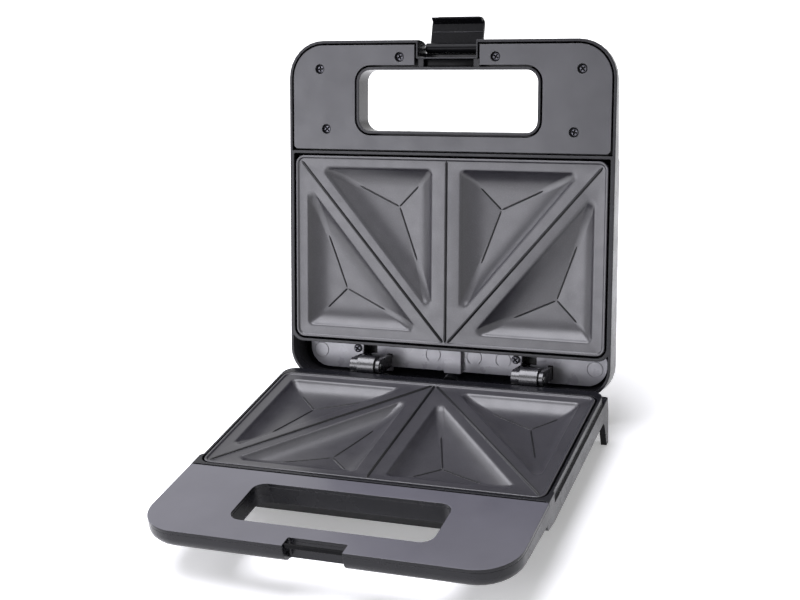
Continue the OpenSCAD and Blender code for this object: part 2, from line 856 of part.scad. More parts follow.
// Lid housing: one hollow moulding with posts, window wall, latch notch and hinge recess
module lid_shell() {
    color("#2c2c30") upper()
        difference() {
            lid_form(0);
            difference() {
                lid_form(skin);
                slab(0, recess_depth) seam_ribs();
                slab(-1, parting_h) window_outline(skin);
                slab(-1, parting_h) plan(notch_half + notch_wall, front_y - 1, notch_wall - notch_rear, 1, 1);
                both_sides() at(lid_grip_places) rod(post_r, lid_boss_level, parting_h);
                at(tray_bosses) rod(post_r, tray_level, parting_h);
                at_hinges() translate([panel_screw[0], panel_screw[1], 0])
                    rod(post_r, recess_depth + panel_t + leaf_t, parting_h);
                at(panel_posts) rod(post_r, recess_depth + panel_t, parting_h);
            }
            slab(-1, parting_h + lid_h) window_outline(0);
            slab(-1, parting_h + lid_h) plan(notch_half, front_y - 5, -notch_rear, 1, 1);
            both_sides() at(lid_grip_places) rod(shank_r + screw_gap, 0, lid_seat + shank_l + 0.6);
            at(tray_bosses) rod(shank_r + screw_gap, 0, tray_level + shank_l);
            at_hinges() translate([panel_screw[0], panel_screw[1], 0])
                rod(shank_r + screw_gap, 0, recess_depth + panel_t + shank_l + 0.6);
            translate([0, latch_axis_y, latch_z]) rotate([0, 90, 0])
                cylinder(h = 2 * (notch_half + notch_wall + 1), r = latch_pin_r + latch_fit, center = true);
            both_sides() translate([lamp_x, lamp_y, 0]) rod(lamp_r + screw_gap, lid_h - skin - 2, lid_h + 1);
        }
}

// Thin ribs in front of and behind the plate
module seam_ribs() {
    difference() {
        plan(body_half, seam_y, rib_rear, 1, plate_corner_r + plate_gap + skin);
        plan(plate_half_w + plate_gap, seam_y + skin, rib_rear - skin, 1, plate_corner_r + plate_gap);
    }
}

module lid_grip_cover() {
    color("#303034") upper()
        difference() {
            union() {
                slab(cover_level, cover_level + cover_t)
                    difference() {
                        cover_outline(0);
                        plan(notch_half + notch_wall + groove_w, front_y - 1, -slot_front, 1, 1);
                    }
                both_sides() at(lid_grip_places) rod(post_r, cover_level + cover_t - join, lid_boss_level);
            }
            both_sides() at(lid_grip_places) {
                rod(shank_r + screw_gap, 0, parting_h);
                rod(well_r, 0, lid_seat);
            }
        }
}

module lid_grip_screws() {
    color("#1a1a1c") upper() both_sides() at(lid_grip_places) translate([0, 0, lid_seat]) mirror([0, 0, 1]) screw(shank_l);
}

// Indicator lenses in the top of the lid and the lamps behind them
module lamp_lenses() {
    color("#9a2a20") upper() both_sides() translate([lamp_x, lamp_y, 0]) rod(lamp_r, lid_h - skin - 1.6, lid_h + 0.4);
}

module lamps() {
    color("#e8e4dc") upper() both_sides() translate([lamp_x, lamp_y, 0]) rod(lamp_r - 0.8, lid_h - skin - 8, lid_h - skin - 1.6);
}

// Lever in its own frame, hanging from its axis in front of the handles
module lever_profile() {
    difference() {
        union() {
            circle(barrel_r);
            polygon([[0, barrel_r], [-lever_out - lever_t + 1, lever_top], [-lever_out - lever_t, lever_top - 1],
                [-lever_out - lever_t, 2 - lever_tip], [-lever_out - lever_t / 2, -lever_tip], [-lever_out, 1 - lever_tip],
                [-lever_out, -1.5], [-1, -barrel_r + 0.4]]);
        }
        circle(latch_pin_r + latch_fit);
    }
}

// Hook of the lever, sloping on the side that pulls on the catch
module hook_profile() {
    polygon([[-lever_out - join, join - hook_top], [-hook_nose, -hook_top - hook_rise],
        [-hook_nose, -hook_top - hook_rise - hook_t], [-lever_out - join, -hook_end - hook_rise]]);
}

module place_latch() {
    upper() translate([0, latch_axis_y, latch_z]) rotate([-latch_swing, 0, 0]) children();
}

module latch_lever() {
    color("#161618") place_latch() {
        intersection() {
            translate([-latch_half, 0, 0]) rotate([90, 0, 90]) linear_extrude(2 * latch_half) lever_profile();
            translate([0, 20, 0]) rotate([90, 0, 0]) linear_extrude(40)
                plan(latch_half, -lever_tip, lever_top + 1, 5, 1);
        }
        translate([-hook_half, 0, 0]) rotate([90, 0, 90]) linear_extrude(2 * hook_half) hook_profile();
    }
}

module latch_pin() {
    color("#b8b8b8") upper() translate([0, latch_axis_y, latch_z]) rotate([0, 90, 0])
        cylinder(h = 2 * (notch_half + notch_wall), r = latch_pin_r, center = true);
}

base_shell();
base_grip_cover();
base_grip_screws();
base_pan();
base_pan_screws();
foot_pads();
latch_catch();
lower_plate();
lower_element();
lower_element_clips();
lower_tray();
lower_plate_screws();
lower_tray_screws();
thermal_fuse();
terminal_block();
cord_gland();
wire_guide();
base_hinge_left();
base_hinge_right();
base_hinge_screws();
hinge_pin_left();
hinge_pin_right();
lid_shell();
lid_grip_cover();
lid_grip_screws();
lid_hinge_panel();
lid_hinge_left();
lid_hinge_right();
lid_hinge_screws();
upper_plate();
upper_element();
upper_element_clips();
upper_tray();
upper_plate_screws();
upper_tray_screws();
thermostat();
lamp_lenses();
lamps();
latch_lever();
latch_pin();
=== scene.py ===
"""Looks of the open sandwich toaster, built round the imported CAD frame.

Lengths in the fields are millimetres and become metres on the mesh. The row frame is
+Z up, -Y towards the user and +X to the user's right. Each half of the toaster is also
described in its own closed frame, where Z runs outwards from the parting plane.
"""

import json
import logging
import math
from dataclasses import dataclass
from enum import Enum

import bmesh
import bpy
from mathutils import Matrix, Vector

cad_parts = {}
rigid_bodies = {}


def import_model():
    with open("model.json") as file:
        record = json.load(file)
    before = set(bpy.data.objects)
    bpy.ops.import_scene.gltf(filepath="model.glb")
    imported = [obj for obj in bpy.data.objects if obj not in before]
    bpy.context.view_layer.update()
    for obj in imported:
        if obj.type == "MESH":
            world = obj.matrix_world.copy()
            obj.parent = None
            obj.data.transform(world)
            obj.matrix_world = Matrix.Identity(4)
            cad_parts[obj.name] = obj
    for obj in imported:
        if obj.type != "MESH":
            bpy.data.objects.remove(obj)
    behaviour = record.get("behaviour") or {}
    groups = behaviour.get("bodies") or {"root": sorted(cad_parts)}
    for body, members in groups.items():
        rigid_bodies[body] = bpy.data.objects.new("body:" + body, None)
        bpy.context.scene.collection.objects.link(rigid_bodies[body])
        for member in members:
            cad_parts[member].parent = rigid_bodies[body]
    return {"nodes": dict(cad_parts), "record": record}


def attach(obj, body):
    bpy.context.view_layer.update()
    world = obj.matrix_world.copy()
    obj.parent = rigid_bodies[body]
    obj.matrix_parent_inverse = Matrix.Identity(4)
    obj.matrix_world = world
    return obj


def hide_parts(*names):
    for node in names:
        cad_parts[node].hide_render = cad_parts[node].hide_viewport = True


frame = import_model()

BMesh = bmesh.types.BMesh
Edges = list[bmesh.types.BMEdge]
Material = bpy.types.Material
Object = bpy.types.Object
Socket = bpy.types.NodeSocket
Tree = bpy.types.NodeTree
Pair = tuple[float, float]
Point = tuple[float, float, float]

log = logging.getLogger("toaster")

MM = 0.001  # one millimetre in metres

# Places of the CAD model that both halves are hung on, in mm and degrees.
Y_MID = 14.646286
PARTING_H = 36.0
HINGE_X = 57.5
HINGE_Y = 80.0
OPEN_ANGLE = 105.7

SAME_FRAME = Matrix.Identity(4).freeze()
SHARP_TURN = 40.0  # turn in degrees from which an edge stays sharp
METAL_FROM = 0.5  # share of metal from which a finish keeps the default index of refraction


class Half(Enum):
    """The two halves of the toaster, named for where their plate is."""

    LOWER = "lower"
    UPPER = "upper"

    def matrix(self) -> Matrix:
        """Returns the matrix from the closed frame in mm to the row frame in metres."""
        to_metres = Matrix.Scale(MM, 4)
        if self is Half.LOWER:
            mirror = Matrix.Diagonal((1.0, 1.0, -1.0, 1.0))
            return to_metres @ Matrix.Translation((0, -Y_MID, PARTING_H)) @ mirror
        turn = Matrix.Rotation(math.radians(-OPEN_ANGLE), 4, "X")
        axis = Matrix.Translation((0, HINGE_Y - Y_MID, PARTING_H))
        return to_metres @ axis @ turn @ Matrix.Translation((0, -HINGE_Y, 0))


# ---- mesh helpers


def full_turn(steps: int) -> list[float]:
    """Returns the angles of points spaced evenly round a circle, in radians."""
    return [2 * math.pi * k / steps for k in range(steps)]


def mark_sharp(bm: BMesh, degrees: float = SHARP_TURN) -> None:
    """Smooths every face and marks the edges that turn more than an angle.

    Args:
        bm: The mesh to mark.
        degrees: The turn between two faces from which their edge stays sharp.
    """
    limit = math.radians(degrees)
    for face in bm.faces:
        face.smooth = True
    for edge in bm.edges:
        turn = edge.calc_face_angle(math.pi) if len(edge.link_faces) == 2 else math.pi
        edge.smooth = turn < limit


def link_object(name: str, data: bpy.types.ID) -> Object:
    """Makes an object of a mesh, light or camera and links it to the scene."""
    made = bpy.data.objects.new(name, data)
    bpy.context.scene.collection.objects.link(made)
    return made


def to_mesh(bm: BMesh, name: str) -> bpy.types.Mesh:
    """Turns a finished bmesh into a mesh and frees it."""
    mesh = bpy.data.meshes.new(name)
    bm.to_mesh(mesh)
    bm.free()
    return mesh


def to_piece(bm: BMesh, name: str, body: str, materials: list[Material]) -> Object:
    """Turns a mesh in the row frame into a piece that rides on a body.

    Args:
        bm: The finished mesh, which is freed here.
        name: The name of the piece.
        body: The CAD body that the piece rides on.
        materials: The materials of the piece, in the order of its faces' indices.

    Returns:
        The new object.
    """
    mesh = to_mesh(bm, name)
    for material in materials:
        mesh.materials.append(material)
    piece = link_object(name, mesh)
    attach(piece, body)
    return piece


def add_box(bm: BMesh, low: Vector, high: Vector, matrix: Matrix = SAME_FRAME) -> None:
    """Adds a box.

    Args:
        bm: The mesh to add to.
        low: Lowest corner.
        high: Highest corner.
        matrix: From the corners' frame to the mesh's.
    """
    made = bmesh.ops.create_cube(bm, size=1.0)["verts"]
    place = Matrix.Translation((low + high) / 2) @ Matrix.Diagonal((*(high - low), 1.0))
    bmesh.ops.transform(bm, matrix=matrix @ place, verts=made)


def soften(bm: BMesh, edges: Edges, radius: float, segments: int) -> None:
    """Rounds edges with a radius, in the units of the mesh."""
    kind = {"offset_type": "OFFSET", "affect": "EDGES", "profile": 0.5, "material": -1}
    bmesh.ops.bevel(bm, geom=edges, offset=radius, segments=segments, clamp_overlap=True, **kind)


def ring(bm: BMesh, points: list[Vector]) -> Edges:
    """Makes a closed loop of edges through a list of points.

    Args:
        bm: The mesh to add to.
        points: The points in order round the loop.

    Returns:
        The edges of the loop.
    """
    made = bmesh.ops.create_circle(bm, segments=len(points), radius=1.0)
    for vert, point in zip(made["verts"], points):
        vert.co = point
    return list({edge for vert in made["verts"] for edge in vert.link_edges})


def loft(bm: BMesh, loops: list[list[Vector]]) -> tuple[list, list]:
    """Bridges a series of loops that have the same number of points.

    Args:
        bm: The mesh to add to.
        loops: The loops in order.

    Returns:
        The edges of the first and of the last loop.
    """
    rings = [ring(bm, points) for points in loops]
    for low, high in zip(rings, rings[1:]):
        bmesh.ops.bridge_loops(bm, edges=low + high)
    return rings[0], rings[-1]


# ---- materials


def to_linear(hex_colour: str) -> tuple[float, float, float, float]:
    """Returns a sRGB hex colour as linear RGBA."""
    parts = [int(hex_colour[i : i + 2], 16) / 255 for i in (1, 3, 5)]
    linear = [p / 12.92 if p <= 0.04045 else ((p + 0.055) / 1.055) ** 2.4 for p in parts]
    return (*linear, 1.0)


def add_node(tree: Tree, kind: str, inputs: dict, **settings) -> bpy.types.Node:
    """Adds a shader node, sets it up and links its inputs.

    Args:
        tree: The node tree to add to.
        kind: The node's type name after its prefix.
        inputs: Values or output sockets by input name or number.
        **settings: Properties of the node itself.

    Returns:
        The new node.
    """
    node = tree.nodes.new("ShaderNode" + kind)
    for key, value in settings.items():
        setattr(node, key, value)
    for key, value in inputs.items():
        if isinstance(value, Socket):
            tree.links.new(value, node.inputs[key])
        else:
            node.inputs[key].default_value = value
    return node


def seen_rays(tree: Tree) -> Socket:
    """Returns 1 for rays that show the background: of the camera, of gloss and through glass."""
    path = add_node(tree, "LightPath", {})
    seen = path.outputs["Is Camera Ray"]
    for kind in ("Is Glossy Ray", "Is Transmission Ray"):
        either = add_node(tree, "Math", {0: seen, 1: path.outputs[kind]}, operation="MAXIMUM")
        seen = either.outputs["Value"]
    return seen


def noise(tree: Tree, place: Socket, period: float, detail: float) -> Socket:
    """Returns the factor of a noise whose features are period mm across."""
    settings = {"Vector": place, "Scale": 1.0 / (period * MM), "Detail": detail}
    return add_node(tree, "TexNoise", settings).outputs["Fac"]


def remap(
    tree: Tree, value: Socket, low: float, high: float, start: float = 0.35, end: float = 0.65
) -> Socket:
    """Returns a value stretched from its range, a noise's usual one, to between low and high."""
    settings = {"Value": value, "From Min": start, "From Max": end, "To Min": low, "To Max": high}
    return add_node(tree, "MapRange", settings).outputs["Result"]


def blend(tree: Tree, share: Socket, base: Socket | tuple, over: Socket | tuple) -> Socket:
    """Returns two colours mixed by a share of the second."""
    return add_node(tree, "Mix", {0: share, 6: base, 7: over}, data_type="RGBA").outputs[2]


def bump(tree: Tree, height: Socket, depth: float, normal: Socket) -> Socket:
    """Returns a normal with relief of a depth in mm laid over it."""
    settings = {"Height": height, "Distance": depth * MM, "Normal": normal}
    return add_node(tree, "Bump", settings).outputs["Normal"]


@dataclass(frozen=True)
class Surface:
    """Base of the finishes: colour variation, uneven gloss, relief and softened edges.

    Attributes:
        name: Name of the real material.
        colour: Main colour in sRGB hex.
        deep: Colour of the darker patches in sRGB hex.
        patch: Size of the colour patches in mm.
        roughness: Lowest and highest roughness.
        grain: Size of the relief in mm.
        relief: Depth of the relief in mm.
        sway: Depth of the slow waviness in mm.
        edge: Radius of the softened edges in mm.
        metallic: Share of metal.
        ior: Index of refraction, for what isn't metal.
        sway_period: Size of the slow waviness in mm.
        gloss_share: Size of the gloss patches as a share of the colour patches.
    """

    name: str
    colour: str
    deep: str
    patch: float = 18.0
    roughness: Pair = (0.3, 0.4)
    grain: float = 0.5
    relief: float = 0.01
    sway: float = 0.0
    edge: float = 0.3
    metallic: float = 0.0
    ior: float = 1.5
    sway_period: float = 30.0
    gloss_share: float = 0.6

    def material(self) -> Material:
        """Builds the material."""
        made = bpy.data.materials.new(self.name)
        made.use_nodes = True
        tree = made.node_tree
        tree.nodes.clear()
        place = add_node(tree, "TexCoord", {}).outputs["Object"]
        shader = add_node(tree, "BsdfPrincipled", {"Metallic": self.metallic})
        if self.metallic < METAL_FROM:
            shader.inputs["IOR"].default_value = self.ior
        tree.links.new(self.tone(tree, place), shader.inputs["Base Color"])
        tree.links.new(self.gloss(tree, place), shader.inputs["Roughness"])
        tree.links.new(self.normal(tree, place), shader.inputs["Normal"])
        add_node(tree, "OutputMaterial", {"Surface": shader.outputs["BSDF"]})
        self.finish(tree, shader, place)
        return made

    def tone(self, tree: Tree, place: Socket) -> Socket:
        """Returns the colour: the main one with soft darker patches."""
        patches = remap(tree, noise(tree, place, self.patch, 3.0), 0.0, 1.0)
        return blend(tree, patches, to_linear(self.deep), to_linear(self.colour))

    def gloss(self, tree: Tree, place: Socket) -> Socket:
        """Returns the roughness, uneven as a handled surface is."""
        return remap(tree, noise(tree, place, self.patch * self.gloss_share, 4.0), *self.roughness)

    def normal(self, tree: Tree, place: Socket) -> Socket:
        """Returns the normal: softened edges, slow waviness and fine relief."""
        soft = add_node(tree, "Bevel", {"Radius": self.edge * MM}, samples=4).outputs["Normal"]
        wave = bump(tree, noise(tree, place, self.sway_period, 0.0), self.sway, soft)
        return bump(tree, noise(tree, place, self.grain, 2.0), self.relief, wave)

    def finish(self, tree: Tree, shader: bpy.types.Node, place: Socket) -> None:
        """Adds what only one kind of surface has."""


@dataclass(frozen=True)
class SpeckledCoating(Surface):
    """Sprayed non-stick coating with fine light specks.

    Attributes:
        speck: Colour of the specks in sRGB hex.
        speck_size: Size of the specks in mm.
    """

    speck: str = "#424147"
    speck_size: float = 0.5

    def tone(self, tree: Tree, place: Socket) -> Socket:
        """Returns the patchy colour with specks over it."""
        dots = remap(tree, noise(tree, place, self.speck_size, 3.0), 0.0, 0.5, 0.5, 0.72)
        return blend(tree, dots, super().tone(tree, place), to_linear(self.speck))


@dataclass(frozen=True)
class Translucent(Surface):
    """Coloured plastic or glass that lets light through.

    Attributes:
        passing: Share of the light that passes.
    """

    passing: float = 0.6

    def finish(self, tree: Tree, shader: bpy.types.Node, place: Socket) -> None:
        """Lets light through the surface."""
        shader.inputs["Transmission Weight"].default_value = self.passing


@dataclass(frozen=True)
class Paper(Surface):
    """White studio paper that shows plain white away from the object and keeps its shadow.

    Attributes:
        near: Distance in mm within which the shadow shows in full.
        far: Distance in mm from which the paper is plain white.
    """

    near: float = 150.0
    far: float = 420.0

    def finish(self, tree: Tree, shader: bpy.types.Node, place: Socket) -> None:
        """Lifts the paper to white where it shows as the background."""
        reach = add_node(tree, "VectorMath", {0: place}, operation="LENGTH").outputs["Value"]
        lift = remap(tree, reach, 0.3, 1.0, self.near * MM, self.far * MM)
        seen = add_node(tree, "Math", {0: lift, 1: seen_rays(tree)}, operation="MULTIPLY")
        tree.links.new(seen.outputs["Value"], shader.inputs["Emission Strength"])
        shader.inputs["Emission Color"].default_value = (1, 1, 1, 1)


FINISHES: dict[str, Surface] = {
    # Black thermoplastic, injected against a polished mould: a dark mirror with faint sink waviness.
    "housing": Surface(
        "polished_black_plastic", "#18181c", "#141418", 24.0, (0.22, 0.3), 0.6, 0.004, 0.02, 0.8, ior=1.32
    ),
    # The lid's handle cover, the same plastic from a duller mould: a shade lighter, reflections softer.
    "housing_cover": Surface(
        "satin_black_cover", "#343438", "#2d2d31", 26.0, (0.3, 0.38), 0.5, 0.005, 0.02, 0.4, ior=1.5
    ),
    # The base's handle cover, black plastic moulded polished: its grey colour is painted reflection of the
    # white studio.
    "base_cover": Surface(
        "black_cover_painted_reflection", "#54535b", "#4f4e56", 40.0, (0.2, 0.26), 0.5, 0.003, 0.01, 0.4, ior=1.7
    ),
    # Hinge panel, dark glossy thermoplastic from a smooth mould, painted pale grey: painted reflection of
    # the white studio, with a broad soft sheen.
    "panel_plastic": Surface(
        "hinge_panel_painted_reflection", "#9c9ba3", "#939299", 16.0, (0.26, 0.34), 0.5, 0.005, 0.02, 0.35, ior=1.75
    ),
    # Bottom pan, black thermoplastic from a spark-eroded mould: matt.
    "pan_plastic": Surface("matt_black_pan", "#222224", "#1b1b1d", 20.0, (0.5, 0.62), 0.7, 0.03, 0.0, 0.4),
    # Latch, catch and wire guide, jet black plastic from a smooth mould: hardly any reflection.
    "latch_plastic": Surface(
        "satin_jet_plastic", "#0b0b0d", "#08080a", 10.0, (0.2, 0.3), 0.4, 0.004, 0.0, 0.35, ior=1.16
    ),
    # Hinge brackets, moulded glass-filled plastic: dark grey with small hard highlights.
    "hinge_plastic": Surface(
        "glass_filled_plastic", "#2a2a2d", "#1f1f22", 7.0, (0.2, 0.3), 0.35, 0.008, 0.0, 0.35, ior=1.7
    ),
    # Feet and gland, moulded rubber: dull black.
    "foot_rubber": Surface("black_rubber", "#121213", "#0c0c0d", 6.0, (0.65, 0.78), 0.5, 0.03),
    # Plates, cast aluminium with a sprayed and baked non-stick coating: dark grey and satin. Its
    # flecks, really about 0.2 mm, are drawn at 0.5 mm so that they show.
    "plate_coating": SpeckledCoating(
        "non_stick_coating", "#27262b", "#232227", 14.0, (0.3, 0.36), 0.6, 0.008, 0.0, 0.5, ior=1.62
    ),
    # Ribs and dividers of the plates, the same coating painted nearly black: painted shade along them.
    "plate_folds": Surface("rib_painted_shade", "#151517", "#101012", 6.0, (0.3, 0.4), 0.5, 0.008, ior=1.35),
    # Screws, steel with hot black oxide: dark metal with soft highlights.
    "black_screws": Surface(
        "black_oxide_steel", "#5c5c62", "#47474c", 2.0, (0.3, 0.42), 0.3, 0.01, 0.0, 0.12, metallic=0.9
    ),
    # Cross recesses of the screws, painted black: painted shade in the hollows of the same oxide.
    "screw_recess": Surface(
        "screw_recess_painted_shade", "#0c0c0e", "#08080a", 2.0, (0.5, 0.65), 0.3, 0.01, 0.0, 0.05, ior=1.3
    ),
    # Small fixings, electroplated zinc on steel: pale and faintly mottled.
    "zinc_steel": Surface(
        "zinc_plated_steel", "#b4b4ae", "#96968f", 3.0, (0.25, 0.38), 0.3, 0.006, 0.0, 0.15, metallic=1.0
    ),
    # Reflector trays, rolled aluminised sheet: pale with a slight grain.
    "tray_steel": Surface(
        "aluminised_sheet", "#c2c2bd", "#a9a9a4", 9.0, (0.3, 0.42), 0.4, 0.01, 0.02, 0.2, metallic=1.0
    ),
    # Heating tubes, annealed steel sheath: dull brown-grey.
    "element_steel": Surface(
        "annealed_tube_sheath", "#8d877e", "#6c665d", 5.0, (0.35, 0.5), 0.4, 0.01, 0.0, 0.15, metallic=1.0
    ),
    # Pins, ground and polished steel: bright.
    "pin_steel": Surface(
        "bright_pin_steel", "#c0c0c0", "#a8a8a8", 3.0, (0.16, 0.26), 0.3, 0.003, 0.0, 0.15, metallic=1.0
    ),
    # Fuse, terminal block and thermostat, pressed unglazed ceramic: dull cream.
    "ceramic_body": Surface("unglazed_ceramic", "#ddd6c8", "#cfc7b8", 4.0, (0.55, 0.7), 0.3, 0.02),
    # Indicator lenses, moulded red polycarbonate: clear and glossy.
    "lens_amber": Translucent(
        "red_lens", "#a8321c", "#8c2413", 3.0, (0.08, 0.16), 0.4, 0.003, edge=0.2, ior=1.58, passing=0.5
    ),
    # Neon lamps, blown glass: nearly clear.
    "lamp_glass": Translucent(
        "lamp_glass", "#e8e2d6", "#dcd4c6", 3.0, (0.03, 0.08), 0.4, 0.002, edge=0.2, ior=1.47, passing=0.9
    ),
}


@dataclass(frozen=True)
class Palette:
    """The materials of the toaster by the slot they are used in.

    Attributes:
        materials: The built materials by slot name.
    """

    materials: dict[str, Material]

    @classmethod
    def mixed(cls) -> "Palette":
        """Builds every material once."""
        return cls({slot: finish.material() for slot, finish in FINISHES.items()})

    def pick(self, slots: tuple[str, ...]) -> list[Material]:
        """Returns the materials of some slots."""
        return [self.materials[slot] for slot in slots]

    def paint_frame(self) -> None:
        """Gives every CAD node the material of its slot."""
        for part in frame["record"]["subparts"]:
            node = frame["nodes"][part["node"]]
            node.data.materials.clear()
            node.data.materials.append(self.materials[part["material_slot"]])


# ---- pieces


@dataclass(frozen=True)
class BoxChange:
    """A box in the lid's closed frame that is added to one of its mouldings or cut out of it.

    Attributes:
        low: Lowest corner.
        high: Highest corner.
        cut: True for a hole, False for added plastic.
    """

    low: Point
    high: Point
    cut: bool = True

    def apply(self, bm: BMesh) -> None:
        """Makes the change.

        Args:
            bm: The mesh to change, in the row frame.
        """
        box = bmesh.new()
        add_box(box, Vector(self.low), Vector(self.high), Half.UPPER.matrix())
        bmesh.ops.recalc_face_normals(box, faces=box.faces)
        blank = link_object("blank", to_mesh(bm.copy(), "blank"))
        cutter = link_object("cutter", to_mesh(box, "cutter"))
        step = blank.modifiers.new("box", "BOOLEAN")
        step.object = cutter
        step.operation = "DIFFERENCE" if self.cut else "UNION"
        bpy.context.view_layer.update()
        graph = bpy.context.evaluated_depsgraph_get()
        shaped = bpy.data.meshes.new_from_object(blank.evaluated_get(graph))
        bm.clear()
        bm.from_mesh(shaped)
        bpy.data.batch_remove((blank, cutter, blank.data, cutter.data, shaped))


@dataclass(frozen=True)
class SmoothedNode:
    """A CAD node shown with joined faces and softened edges.

    Attributes:
        node: The CAD node that this piece stands for.
        body: The body that it rides on.
        slot: The material slot.
        radius: Radius of the softened edges in mm.
        changes: Boxes that are added or cut out.
        side_slot: The material slot of the upright faces, where it is another.
        weld: Distance in mm within which corners are one.
        flat_turn: Turn in degrees below which faces are one.
        side_limit: Upwards part of a face's normal below which it is upright.
        normal_weight: How far the larger faces bend the shading of the rounded edges, of 100.
    """

    node: str
    body: str
    slot: str
    radius: float = 0.3
    changes: tuple[BoxChange, ...] = ()
    side_slot: str | None = None
    weld: float = 0.002
    flat_turn: float = 0.5
    side_limit: float = 0.8
    normal_weight: int = 90

    def build(self, palette: Palette) -> Object:
        """Makes the smoothed piece.

        Args:
            palette: The materials.

        Returns:
            The piece that replaces the node.
        """
        bm = bmesh.new()
        bm.from_mesh(frame["nodes"][self.node].data)
        for change in self.changes:
            change.apply(bm)
        bmesh.ops.remove_doubles(bm, verts=bm.verts, dist=self.weld * MM)
        flat = math.radians(self.flat_turn)
        bmesh.ops.dissolve_limit(bm, angle_limit=flat, verts=bm.verts, edges=bm.edges)
        mark_sharp(bm)
        sharp = [e for e in bm.edges if not e.smooth and len(e.link_faces) == 2]
        soften(bm, sharp, self.radius * MM, 2)
        mark_sharp(bm)
        slots = (self.slot,)
        if self.side_slot:
            slots += (self.side_slot,)
            for face in bm.faces:
                face.material_index = int(abs(face.normal.z) < self.side_limit)
        piece = to_piece(bm, self.node + "_moulding", self.body, palette.pick(slots))
        even = piece.modifiers.new("even_normals", "WEIGHTED_NORMAL")
        even.keep_sharp = True
        even.weight = self.normal_weight
        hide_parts(self.node)
        return piece


